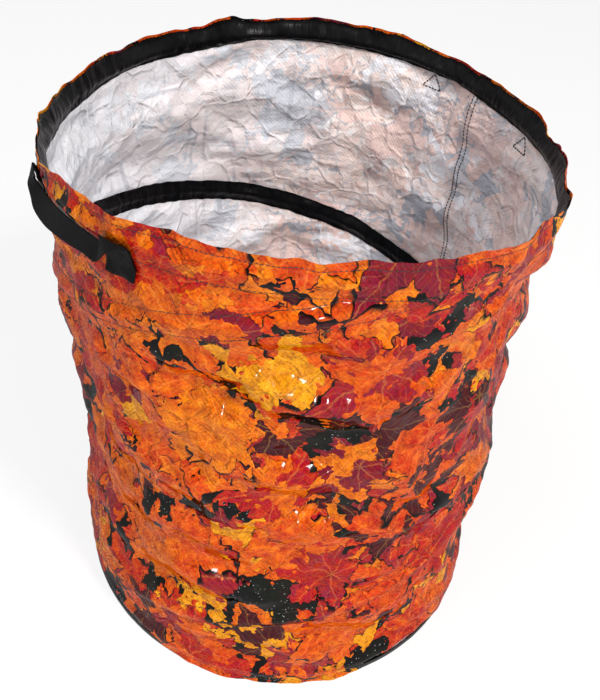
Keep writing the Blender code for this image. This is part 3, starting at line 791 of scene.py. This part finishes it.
def leaf_layer_group(name, lobes, valley, tooth, size):
    """One layer of scattered leaves, each in its own cell of a turned grid, over what lies below."""
    numbers = dict.fromkeys(("Mottle", "Turn", "Cell", "Shift", "Share"), "Float")
    tree = new_group(name, ("Color", "Color"), {"Flat": "Vector", "Below": "Color", **numbers})
    given = add(tree, "NodeGroupInput", out=None)

    turned = add(tree, "VectorRotate", {"Vector": given["Flat"], "Angle": given["Turn"]},
                 rotation_type="Z_AXIS")
    per_cell = add(tree, "Math DIVIDE", 1.0, given["Cell"])
    scaled = add(tree, "VectorMath SCALE", {0: turned, "Scale": per_cell})
    shift_up = add(tree, "Math MULTIPLY", given["Shift"], SHIFT_RATIO)
    shift = add(tree, "CombineXYZ", given["Shift"], shift_up)
    moved = add(tree, "VectorMath ADD", scaled, shift)
    cell = add(tree, "VectorMath FLOOR", moved)
    inside = add(tree, "VectorMath FRACTION", moved)
    inside = add(tree, "VectorMath SUBTRACT", inside, (0.5, 0.5, 0.0))
    seed = add(tree, "CombineXYZ", {"Z": given["Shift"]})
    seeded = add(tree, "VectorMath ADD", cell, seed)
    chance = add(tree, "TexWhiteNoise", {"Vector": seeded}, out=None, noise_dimensions="3D")
    random = add(tree, "SeparateColor", chance["Color"], out=None)

    way = add(tree, "Math MULTIPLY", random[0], math.tau)
    leaf = add(tree, "VectorRotate", {"Vector": inside, "Angle": way}, rotation_type="Z_AXIS")
    leaf = add(tree, "VectorMath ADD", leaf, (0.0, LEAF_DROP, 0.0))
    leaf = add(tree, "VectorMath MULTIPLY", leaf, (1.0, 1.0, 0.0))
    away = add(tree, "VectorMath LENGTH", leaf, out="Value")
    split = add(tree, "SeparateXYZ", leaf, out=None)
    bearing = add(tree, "Math ARCTAN2", split["X"], split["Y"])
    bearing = add(tree, "Math ABSOLUTE", bearing)

    # The outline is a star of pointed lobes whose length falls off towards the stalk, with teeth.
    half_lobe = math.radians(lobes / 2)
    tooth_half = math.radians(TOOTH_DEG)
    beside = add(tree, "Math PINGPONG", bearing, half_lobe)
    lobe = add(tree, "Math DIVIDE", beside, half_lobe)
    lobe = add(tree, "Math POWER", lobe, LOBE_SHARPNESS)
    teeth = add(tree, "Math PINGPONG", bearing, tooth_half)
    teeth = add(tree, "Math MULTIPLY", teeth, tooth / tooth_half)
    fall = add(tree, "Math MULTIPLY", bearing, FALL_RATE)
    fall = add(tree, "Math COSINE", fall)
    fall = add(tree, "Math MULTIPLY_ADD", fall, FALL_SWING, 1 - FALL_SWING)
    notch = add(tree, "Math MULTIPLY_ADD", lobe, -valley, 1.0)
    notch = add(tree, "Math SUBTRACT", notch, teeth)
    growth = add(tree, "Math MULTIPLY_ADD", random[1], LEAF_GROWTH, size - LEAF_GROWTH)
    length = add(tree, "Math MULTIPLY", fall, growth)
    edge = add(tree, "Math MULTIPLY", length, notch)
    inset = add(tree, "Math SUBTRACT", edge, away)
    inset = add(tree, "Math MULTIPLY", inset, given["Cell"])
    present = add(tree, "Math LESS_THAN", chance["Value"], given["Share"])
    cover = add(tree, "MapRange", inset, *EDGE_RANGE)
    cover = add(tree, "Math MULTIPLY", cover, present)

    # Its shadow falls to one side on the leaves below.
    side = add(tree, "VectorMath NORMALIZE", inside)
    side = add(tree, "VectorMath DOT_PRODUCT", side, SHADOW_WAY, out="Value")
    reach = add(tree, "MapRange", side, *SHADOW_RANGE)
    shade = add(tree, "MapRange", inset, reach, 0.0)
    shade = add(tree, "Math MULTIPLY", shade, SHADOW_DEPTH, use_clamp=True)
    shade = add(tree, "Math MULTIPLY", shade, present)
    dark = add(tree, "Mix", {0: shade, 6: given["Below"], 7: colour(LEAF_SHADOW)}, out=2, data_type="RGBA")

    # Each leaf has one colour, mottled, with a brighter middle.
    body = add(tree, "ValToRGB", random[2], stops=LEAF_COLOURS, stepped=True)
    mottle = given["Mottle"]
    hue = add(tree, "MapRange", mottle, *HUE_RANGE)
    value = add(tree, "Math MULTIPLY_ADD", lobe, -MIDDLE_GLOW, MIDDLE_VALUE)
    value = add(tree, "Math SUBTRACT", value, MOTTLE_DEPTH / 2)
    value = add(tree, "Math MULTIPLY_ADD", mottle, MOTTLE_DEPTH, value)
    body = add(tree, "HueSaturation", {"Hue": hue, "Value": value, "Color": body})

    # A rib runs up each lobe, with branches off it.
    sine = add(tree, "Math SINE", beside)
    cosine = add(tree, "Math COSINE", beside)
    across = add(tree, "Math MULTIPLY", sine, away)
    across = add(tree, "Math MULTIPLY", across, given["Cell"])
    forward = add(tree, "Math MULTIPLY", cosine, away)
    forward = add(tree, "Math MULTIPLY", forward, given["Cell"])
    rib = add(tree, "MapRange", across, *RIB_RANGE)
    branch = add(tree, "Math MULTIPLY_ADD", across, -BRANCH_SLOPE, forward)
    branch = add(tree, "Math PINGPONG", branch, BRANCH_HALF_PITCH)
    branch = add(tree, "MapRange", branch, *BRANCH_RANGE)
    vein = add(tree, "Math MAXIMUM", rib, branch)
    vein = add(tree, "Math MULTIPLY", vein, VEIN_SHARE)
    veined = add(tree, "Mix", {0: vein, 6: body, 7: colour(LEAF_VEIN)}, out=2, data_type="RGBA")
    laid = add(tree, "Mix", {0: cover, 6: dark, 7: veined}, out=2, data_type="RGBA")
    add(tree, "NodeGroupOutput", laid, out=None)
    return tree


def leaf_print_group():
    """The whole print: dark ground with painted glints, pale specks that stand in for highlights on the film,
    then layers of leaves.
    """
    broad = leaf_layer_group("pointed_leaves", lobes=50.0, valley=0.42, tooth=0.07, size=0.58)
    plain = leaf_layer_group("oval_leaves", lobes=180.0, valley=0.62, tooth=0.05, size=0.58)
    tree = new_group("leaf_print", ("Color", "Color"))
    place = add(tree, "Attribute", out="Vector", attribute_name="flat")
    wander = add(tree, "TexNoise", {"Vector": place, "Scale": 26.0, "Detail": 3.0, "Roughness": 0.6},
                 out="Color")
    wander = add(tree, "VectorMath SUBTRACT", wander, (0.5, 0.5, 0.5))
    wander = add(tree, "VectorMath SCALE", {0: wander, "Scale": PRINT_WANDER})
    place_bent = add(tree, "VectorMath ADD", place, wander)

    patches = add(tree, "TexNoise", {"Vector": place, "Scale": 14.0, "Detail": 3.0})
    ground = add(tree, "ValToRGB", patches, stops=GROUND_COLOURS)
    # Painted glints: pale specks on the dark ground that stand in for highlights on the film, not part of the
    # print
    glint = add(tree, "TexVoronoi", {"Vector": place, "Scale": 210.0})
    glint = add(tree, "MapRange", glint, *PAINTED_GLINT_RANGE)
    mottle = add(tree, "TexNoise", {"Vector": place, "Scale": 70.0, "Detail": 5.0, "Roughness": 0.8})
    print_colour = add(tree, "Mix", {0: glint, 6: ground, 7: colour("#B9B4B6")}, out=2, data_type="RGBA")
    # Each layer's leaf, its turn in degrees, the size of its cells, its place and the share of cells filled
    layers = ((broad, 17.0, 0.160, 3.3, 0.97), (plain, 61.0, 0.105, 7.9, 0.85),
              (broad, 49.0, 0.150, 12.4, 0.97), (broad, 28.0, 0.166, 66.1, 0.95),
              (broad, 78.0, 0.156, 21.7, 0.95), (broad, 36.0, 0.172, 81.5, 0.92),
              (plain, 33.0, 0.094, 31.1, 0.30), (broad, 5.0, 0.150, 43.6, 0.88),
              (broad, 64.0, 0.170, 57.2, 0.85))
    for leaf, turn, cell, shift, share in layers:
        print_colour = add(tree, "Group", {
            "Flat": place_bent, "Below": print_colour, "Mottle": mottle, "Turn": math.radians(turn),
            "Cell": cell, "Shift": shift, "Share": share}, node_tree=leaf)
    add(tree, "NodeGroupOutput", print_colour, out=None)
    return tree


# Cloth

# Painted light shining through the cloth: how the print's lightness shows on the white side, and the share of
# this painted show-through by the distance from the seam
PAINTED_SHOW_THROUGH_COLOURS = ((0.0, "#A9A8AE"), (0.025, "#B3AFB2"), (0.05, "#E4BDB2"), (0.14, "#E9C9BA"),
                 (0.24, "#EBDAD3"), (0.36, "#ECE9EC"))
PAINTED_SHOW_THROUGH_RANGE = (0.40, 0.74, 0.85, 0.10)
HATCH_RANGE = (0.52, 0.62)
WORN_RANGE = (0.50, 0.62)
HATCH_SHARE = 0.38
CRUMPLE_BEND = 30 * MM
CRUMPLE_EDGE = 0.09


def woven_laminate_group(name, depth):
    """Relief of the laminate: crumples, then the flat tapes it's woven of, drawn coarser than real."""
    tree = new_group(name, ("Normal", "Vector"))
    place = add(tree, "Attribute", out="Vector", attribute_name="flat")
    body = add(tree, "TexCoord", out="Object")
    split = add(tree, "SeparateXYZ", place, out=None)
    waves = []
    for axis in ("X", "Y"):
        phase = add(tree, "Math MULTIPLY", split[axis], math.pi / TAPE_PITCH)
        waves.append(add(tree, "Math SINE", phase))
    weave = add(tree, "Math MULTIPLY", waves[0], waves[1])
    bent = add(tree, "TexNoise", {"Vector": body, "Scale": 22.0, "Detail": 2.0}, out="Color")
    bent = add(tree, "VectorMath SCALE", {0: bent, "Scale": CRUMPLE_BEND})
    bent = add(tree, "VectorMath ADD", body, bent)
    facets = add(tree, "TexVoronoi", {"Vector": bent, "Scale": 46.0}, distance="MANHATTAN")
    edges = add(tree, "TexVoronoi", {"Vector": bent, "Scale": 25.0}, feature="DISTANCE_TO_EDGE")
    edges = add(tree, "MapRange", edges, 0.0, CRUMPLE_EDGE, interpolation_type="SMOOTHSTEP")
    soft = add(tree, "TexNoise", {"Vector": body, "Scale": 95.0, "Detail": 6.0, "Roughness": 0.72})
    relief = {}
    # Heights in millimetres, the weave's last
    for height, rise in ((facets, 3.4), (edges, -1.1), (soft, 3.0), (weave, 0.20)):
        relief["Normal"] = add(tree, "Bump", {"Height": height, "Distance": rise * MM * depth,
                                              "Strength": 1.0, **relief})
    add(tree, "NodeGroupOutput", relief, out=None)
    return tree


def printed_laminate(print_group, surface_group):
    """Woven polypropylene tape cloth under a printed gloss film: wet-looking, with sharp glints."""
    made, tree = new_material("printed_polypropylene_laminate")
    base = add(tree, "Group", node_tree=print_group)
    normal = add(tree, "Group", node_tree=surface_group)
    return surface(made, base, normal, {"Roughness": 0.40, "Specular IOR Level": 0.0, "Coat Weight": 0.24,
                                        "Coat Roughness": 0.08})


def white_laminate(print_group, surface_group):
    """The unprinted white side of the laminate, with the print's show-through painted on as light shining
    through the cloth, most near the seam.
    """
    made, tree = new_material("white_polypropylene_laminate")
    shown = add(tree, "Group", node_tree=print_group)
    lightness = add(tree, "RGBToBW", shown)
    painted_print_behind = add(tree, "ValToRGB", lightness, stops=PAINTED_SHOW_THROUGH_COLOURS)
    place = add(tree, "Attribute", out="Vector", attribute_name="flat")
    split = add(tree, "SeparateXYZ", place, out=None)
    from_seam = add(tree, "Math PINGPONG", split["X"], BAG_RADIUS * math.pi)
    clouds = add(tree, "TexNoise", {"Vector": place, "Scale": 5.0, "Detail": 2.0})
    reach = add(tree, "Math MULTIPLY_ADD", clouds, 0.5, from_seam)
    # Painted light: the print shows through more towards the seam, standing for the side where light shines
    # through the cloth
    share = add(tree, "MapRange", reach, *PAINTED_SHOW_THROUGH_RANGE)
    painted_show_through = add(tree, "Mix", {0: share, 6: colour("#E9EDF5"), 7: painted_print_behind}, out=2, data_type="RGBA")

    # The tapes' edges show as fine grey lines in worn patches.
    lines = []
    for stretch, wear in (((1.0, 0.05, 0.0), 15.3), ((0.04, 1.0, 0.0), 22.1)):
        along = add(tree, "VectorMath MULTIPLY", place, stretch)
        line = add(tree, "TexNoise", {"Vector": along, "Scale": 0.5 / HATCH_PITCH, "Detail": 1.0})
        line = add(tree, "MapRange", line, *HATCH_RANGE)
        worn = add(tree, "TexNoise", {"Vector": place, "Scale": wear, "Detail": 2.0})
        worn = add(tree, "MapRange", worn, *WORN_RANGE)
        lines.append(add(tree, "Math MULTIPLY", line, worn))
    line = add(tree, "Math MAXIMUM", lines[0], lines[1])
    line = add(tree, "Math MULTIPLY", line, HATCH_SHARE)
    base = add(tree, "Mix", {0: line, 6: painted_show_through, 7: colour("#8C93A0")}, out=2, data_type="RGBA")
    normal = add(tree, "Group", node_tree=surface_group)
    return surface(made, base, normal, {"Roughness": 0.42, "Specular IOR Level": 0.25})


# Tapes, thread and wire

def satin_tape():
    """Black polyester satin tape: dark, with soft sheen along its pleats and a fine twill."""
    made, tree = new_material("black_polyester_satin")
    place = add(tree, "Attribute", out="Vector", attribute_name="flat")
    body = add(tree, "TexCoord", out="Object")
    stretched = add(tree, "VectorMath MULTIPLY", place, (1.0, 0.22, 1.0))
    pleats = add(tree, "TexNoise", {"Vector": stretched, "Scale": 140.0, "Detail": 3.0})
    twill = add(tree, "TexWave", {"Vector": place, "Scale": WAVE_SCALE / TWILL_PITCH, "Distortion": 0.4},
                bands_direction="DIAGONAL")
    mottle = add(tree, "TexNoise", {"Vector": body, "Scale": 70.0, "Detail": 4.0})
    shade = add(tree, "ValToRGB", mottle, stops=((0.3, "#030304"), (0.7, "#09090B")))
    folds = add(tree, "Bump", {"Height": pleats, "Distance": 3.2 * MM, "Strength": 1.0})
    weave = add(tree, "Bump", {"Height": twill, "Distance": 0.06 * MM, "Strength": 0.6, "Normal": folds})
    return surface(made, shade, weave, {"Roughness": 0.30, "Specular IOR Level": 0.11})


def ribbed_webbing():
    """Black polypropylene webbing: dull ribs along it, crossed by finer picks that glint, with painted
    highlights on the crowns and painted shade in the valleys.
    """
    made, tree = new_material("black_polypropylene_webbing")
    place = add(tree, "Attribute", out="Vector", attribute_name="flat")
    split = add(tree, "SeparateXYZ", place, out=None)
    heights = []
    for axis, pitch in (("Y", RIB_PITCH), ("X", PICK_PITCH)):
        phase = add(tree, "Math MULTIPLY", split[axis], math.tau / pitch)
        heights.append(add(tree, "Math SINE", phase))
    height = add(tree, "Math MULTIPLY_ADD", heights[1], 0.45, heights[0])
    level = add(tree, "MapRange", height, -1.4, 1.4)
    # Painted highlight and shade: the colour follows the weave's height, lighter on the crowns and darker in
    # the valleys
    shade = add(tree, "ValToRGB", level, stops=((0.0, "#010101"), (0.6, "#030304"), (1.0, "#161618")))
    woven = add(tree, "Bump", {"Height": height, "Distance": 0.35 * MM, "Strength": 0.9})
    return surface(made, shade, woven, {"Roughness": 0.55, "Specular IOR Level": 0.08})


def spun_thread():
    """Black bonded polyester thread: slightly shiny, with its twist just showing."""
    made, tree = new_material("black_polyester_thread")
    body = add(tree, "TexCoord", out="Object")
    twist = add(tree, "TexWave", {"Vector": body, "Scale": WAVE_SCALE / TWIST_PITCH},
                bands_direction="DIAGONAL")
    shade = add(tree, "ValToRGB", twist, stops=((0.0, "#080605"), (1.0, "#1A1412")))
    bump = add(tree, "Bump", {"Height": twist, "Distance": 0.1 * MM})
    return surface(made, shade, bump, {"Roughness": 0.45})


def grosgrain_binding():
    """Black woven edge tape with fine ribs across it."""
    made, tree = new_material("black_grosgrain_binding")
    place = add(tree, "Attribute", out="Vector", attribute_name="flat")
    ribs = add(tree, "TexWave", {"Vector": place, "Scale": WAVE_SCALE / GROSGRAIN_PITCH, "Distortion": 0.3},
               bands_direction="X")
    shade = add(tree, "ValToRGB", ribs, stops=((0.0, "#09090A"), (1.0, "#1F1E20")))
    bump = add(tree, "Bump", {"Height": ribs, "Distance": 0.15 * MM})
    return surface(made, shade, bump, {"Roughness": 0.7})


def drawn_steel(name, low, high, roughness):
    """Bright drawn wire or plated tube, with faint cloudy patches."""
    made, tree = new_material(name)
    body = add(tree, "TexCoord", out="Object")
    cloud = add(tree, "TexNoise", {"Vector": body, "Scale": 60.0, "Detail": 4.0})
    shade = add(tree, "ValToRGB", cloud, stops=((0.3, low), (0.7, high)))
    bump = add(tree, "Bump", {"Height": cloud, "Distance": 0.05 * MM})
    return surface(made, shade, bump, {"Metallic": 1.0, "Roughness": roughness})


# Pieces

print_group = leaf_print_group()
printed = printed_laminate(print_group, woven_laminate_group("film_relief", depth=1.7))
white = white_laminate(print_group, woven_laminate_group("bare_relief", depth=0.75))
satin = satin_tape()
webbing = ribbed_webbing()
thread = spun_thread()
grosgrain = grosgrain_binding()
wire_steel = drawn_steel("bright_spring_wire", "#8E8E90", "#B4B4B6", roughness=0.30)
sleeve_steel = drawn_steel("zinc_plated_sleeve", "#A09C90", "#C6C2B6", roughness=0.38)


def shorten(piece):
    """Attaches the piece to the base and gives it a mesh of its own."""
    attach(piece, "base")
    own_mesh(piece)


def foot_cut_of(angle):
    return level_cut(angle, FOOT_CUT)


def rim_cut_of(angle):
    return level_cut(angle, RIM_CUT)


laminate = [printed, white]
wall = wall_sheet("wall_cloth", foot_cut_of, rim_cut_of, WALL_COLUMNS, WALL_ROWS, laminate)
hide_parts("wall_panel")
shorten(wall)

foot_cloth = wall_sheet("foot_cloth", lambda angle: 0.0, foot_cut_of, WALL_COLUMNS, FOOT_ROWS, laminate)
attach(foot_cloth, "base")

rim_cloth = wall_sheet("rim_cloth", rim_cut_of, lambda angle: BAG_HEIGHT, RIM_COLUMNS, RIM_ROWS, laminate)
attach(rim_cloth, "rim")

floor_piece = floor_sheet(laminate)
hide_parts("base_panel")
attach(floor_piece, "base")

binding = foot_binding(grosgrain)
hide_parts("edge_binding")
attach(binding, "base")

rim_band = tape_sheet("rim_band", SEAM_DEG, SEAM_DEG + 360.0, lambda angle: RIM_HOOP_HEIGHT,
                      RIM_TAPE_WIDTH, satin)
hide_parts("rim_casing")
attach(rim_band, "rim")

foot_band = tape_sheet("foot_band", SEAM_DEG, SEAM_DEG + 360.0, lambda angle: BASE_HOOP_HEIGHT,
                       BASE_TAPE_WIDTH, satin)
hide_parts("base_casing")
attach(foot_band, "base")

spiral_cut_deg = spiral_cut()
spiral_band = tape_sheet("spiral_band", SPIRAL_FOOT_DEG, spiral_cut_deg, spiral_height,
                         SPIRAL_TAPE_WIDTH, satin)
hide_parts("spiral_casing")
shorten(spiral_band)

band_head = tape_sheet("spiral_band_head", spiral_cut_deg, SPIRAL_HEAD_DEG, spiral_height,
                       SPIRAL_TAPE_WIDTH, satin)
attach(band_head, "rim")

spiral_wire = wire_tube("spiral_wire", SPIRAL_FOOT_DEG, spiral_cut_deg, wire_steel)
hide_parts("spiral_spring")
shorten(spiral_wire)

wire_head = wire_tube("spiral_wire_head", spiral_cut_deg, SPIRAL_HEAD_DEG, wire_steel)
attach(wire_head, "rim")

for node in ("base_hoop", "rim_hoop"):
    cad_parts[node].material_slots[0].material = wire_steel
for node in ("base_sleeve", "rim_sleeve"):
    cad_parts[node].material_slots[0].material = sleeve_steel

for handle, centre_deg, stand in (("front_handle", HANDLE_DEG, FRONT_STAND),
                                  ("rear_handle", HANDLE_DEG - 180.0, REAR_STAND)):
    loop = strap(handle + "_loop", centre_deg, stand, webbing)
    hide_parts(handle + "_strap")
    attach(loop, handle)
    for end, side in (("_left", -1), ("_right", 1)):
        sewn = tail(handle + end + "_sewn_end", side, centre_deg, webbing)
        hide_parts(handle + end + "_tail")
        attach(sewn, "rim")
        marks = triangle_stitches(handle + end + "_triangle", centre_deg + side * HANDLE_HALF_DEG,
                                  TAIL_TOP - TRIANGLE_DROP, -(CLOTH / 2 + THREAD_RADIUS), thread)
        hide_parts(handle + end + "_stitches")
        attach(marks, "rim")

thread_offset = CLOTH / 2 + THREAD_RISE
for part, height in (("upper", RIM_TAPE_TOP - TAPE_ROW_INSET), ("lower", RIM_TAPE_FOOT + TAPE_ROW_INSET)):
    row = stitch_row("rim_row_" + part, around(height, thread_offset), 0.0, WHOLE_ROUND, thread)
    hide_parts("rim_stitches_" + part)
    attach(row, "rim")

climb_per_metre = SPIRAL_CLIMB * degrees_for(1.0)
for part, way in (("upper", 1), ("lower", -1)):
    away = way * (SPIRAL_TAPE_WIDTH / 2 - TAPE_ROW_INSET)
    zero_height = spiral_height(0.0) + away
    first = (BASE_TAPE_TOP - zero_height) / climb_per_metre
    last = (RIM_TAPE_FOOT - zero_height) / climb_per_metre
    cut = spiral_cut(away) / degrees_for(1.0)
    route = along_spiral(away, thread_offset)
    row = stitch_row("spiral_row_" + part, route, first, cut, thread)
    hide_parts("spiral_stitches_" + part)
    shorten(row)
    row = stitch_row("spiral_row_" + part + "_head", route, cut, last, thread)
    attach(row, "rim")

foot_route = around(BASE_TAPE_TOP - TAPE_ROW_INSET, -(HEM_DEPTH + TAPE))
foot_row = stitch_row("foot_row", foot_route, 0.0, WHOLE_ROUND, thread)
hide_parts("base_stitches")
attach(foot_row, "base")

# The spiral's tape covers a stretch of both seam rows.
lap_depth = CLOTH * 1.5 + CLEARANCE + THREAD_RISE
covered = spiral_height(SEAM_DEG)
cover_half = SPIRAL_TAPE_WIDTH / 2 + SEAM_ROW_GAP
for side, along in (("right", SEAM_ROW_INSET), ("left", SEAM_LAP - SEAM_ROW_INSET)):
    row_deg = SEAM_DEG + degrees_for(along)
    row_cut = rim_cut_of(row_deg)
    for part, low, high in (("lower", BASE_TAPE_TOP, covered - cover_half),
                            ("upper", covered + cover_half, row_cut), ("head", row_cut, RIM_TAPE_FOOT)):
        row = stitch_row("seam_row_" + side + "_" + part,
                         lambda height, deg=row_deg: cloth_point(deg, height, -lap_depth), low, high, thread,
                         thick=SEAM_THREAD_RADIUS)
        if part == "head":
            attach(row, "rim")
        else:
            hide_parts("seam_stitches_" + side + "_" + part)
            shorten(row)

foot_height, wall_top = mean_cut(FOOT_CUT), mean_cut(RIM_CUT)


# Floor, light and camera

# Strength of the white room's light; the camera and mirrors see the room itself at full strength
ROOM_LIGHT = 0.39
# Share of pure white that the camera sees in the floor, so that it runs into the room
FLOOR_WHITE = 0.8


def backdrop():
    """A pale floor that keeps the shadow, and a white world behind it."""
    ground = bmesh.new()
    bmesh.ops.create_grid(ground, x_segments=1, y_segments=1, size=12.0)
    made, tree = new_material("pale_studio_floor")
    body = add(tree, "TexCoord", out="Object")
    grain = add(tree, "TexNoise", {"Vector": body, "Scale": 3.0, "Detail": 2.0})
    shade = add(tree, "ValToRGB", grain, stops=((0.0, "#F3F3F2"), (1.0, "#F6F6F5")))
    surface(made, shade, None, {"Roughness": 0.9, "Specular IOR Level": 0.1})
    white_card = add(tree, "Emission", {"Color": (1.0, 1.0, 1.0, 1.0), "Strength": 1.0})
    seen = add(tree, "LightPath", out="Is Camera Ray")
    whitened = add(tree, "Math MULTIPLY", seen, FLOOR_WHITE)
    shaded = tree.nodes["Principled BSDF"].outputs[0]
    floor_look = add(tree, "MixShader", whitened, shaded, white_card)
    tree.links.new(floor_look, tree.nodes["Material Output"].inputs["Surface"])
    sheet = finished("studio_floor", ground, [made])
    world = bpy.data.worlds.new("studio")
    bpy.context.scene.world = world
    world.use_nodes = True
    tree = world.node_tree
    path = add(tree, "LightPath", out=None)
    seen = add(tree, "Math MAXIMUM", path["Is Camera Ray"], path["Is Glossy Ray"])
    seen = add(tree, "Math MAXIMUM", seen, path["Is Transmission Ray"])
    strength = add(tree, "MapRange", seen, 0.0, 1.0, ROOM_LIGHT, 1.0)
    sky = tree.nodes["Background"]
    sky.inputs["Color"].default_value = (1.0, 1.0, 1.0, 1.0)
    tree.links.new(strength, sky.inputs["Strength"])


def lamp(name, place, target, size, power, tint="#FFFFFF"):
    light = bpy.data.lights.new(name, "AREA")
    light.size = size
    light.energy = power
    light.color = colour(tint)[:3]
    made = bpy.data.objects.new(name, light)
    made.visible_camera = False
    made.location = place
    made.rotation_euler = (Vector(target) - Vector(place)).to_track_quat("-Z", "Y").to_euler()
    bpy.context.scene.collection.objects.link(made)


def photo_camera():
    """The camera at the photograph's place: it looks along +Y, tipped down, with a slight roll."""
    data = bpy.data.cameras.new("photo_camera")
    data.lens = CAMERA_LENS
    data.sensor_width = 36.0
    data.clip_end = 60.0
    made = bpy.data.objects.new("photo_camera", data)
    down, roll = math.radians(CAMERA_DOWN_DEG), math.radians(CAMERA_ROLL_DEG)
    back = Vector((0.0, -math.cos(down), math.sin(down)))
    right = Vector((1.0, 0.0, 0.0))
    up = right.cross(-back)
    across = right * math.cos(roll) + up * math.sin(roll)
    upward = up * math.cos(roll) - right * math.sin(roll)
    turned = Matrix((across, upward, back)).transposed().to_4x4()
    made.matrix_world = Matrix.Translation(CAMERA_PLACE) @ turned
    bpy.context.scene.collection.objects.link(made)
    bpy.context.scene.camera = made


backdrop()
lamp("sun_side", (1.1, -1.25, 2.5), (0.0, 0.0, 0.3), size=0.4, power=65.0, tint="#FFFBF6")
lamp("open_sky", (-0.8, -0.6, 2.8), (0.15, 0.1, 0.4), size=1.0, power=33.0, tint="#F0F5FF")
for low_window, place in (("low_window_right", (1.1, -2.1, 0.5)), ("low_window_middle", (0.3, -2.4, 0.2)),
                          ("low_window_left", (-0.6, -2.3, 0.6))):
    lamp(low_window, place, (0.0, 0.0, 0.3), size=0.10, power=7.0)
photo_camera()
bpy.context.scene.view_settings.view_transform = "Standard"

bpy.context.view_layer.update()
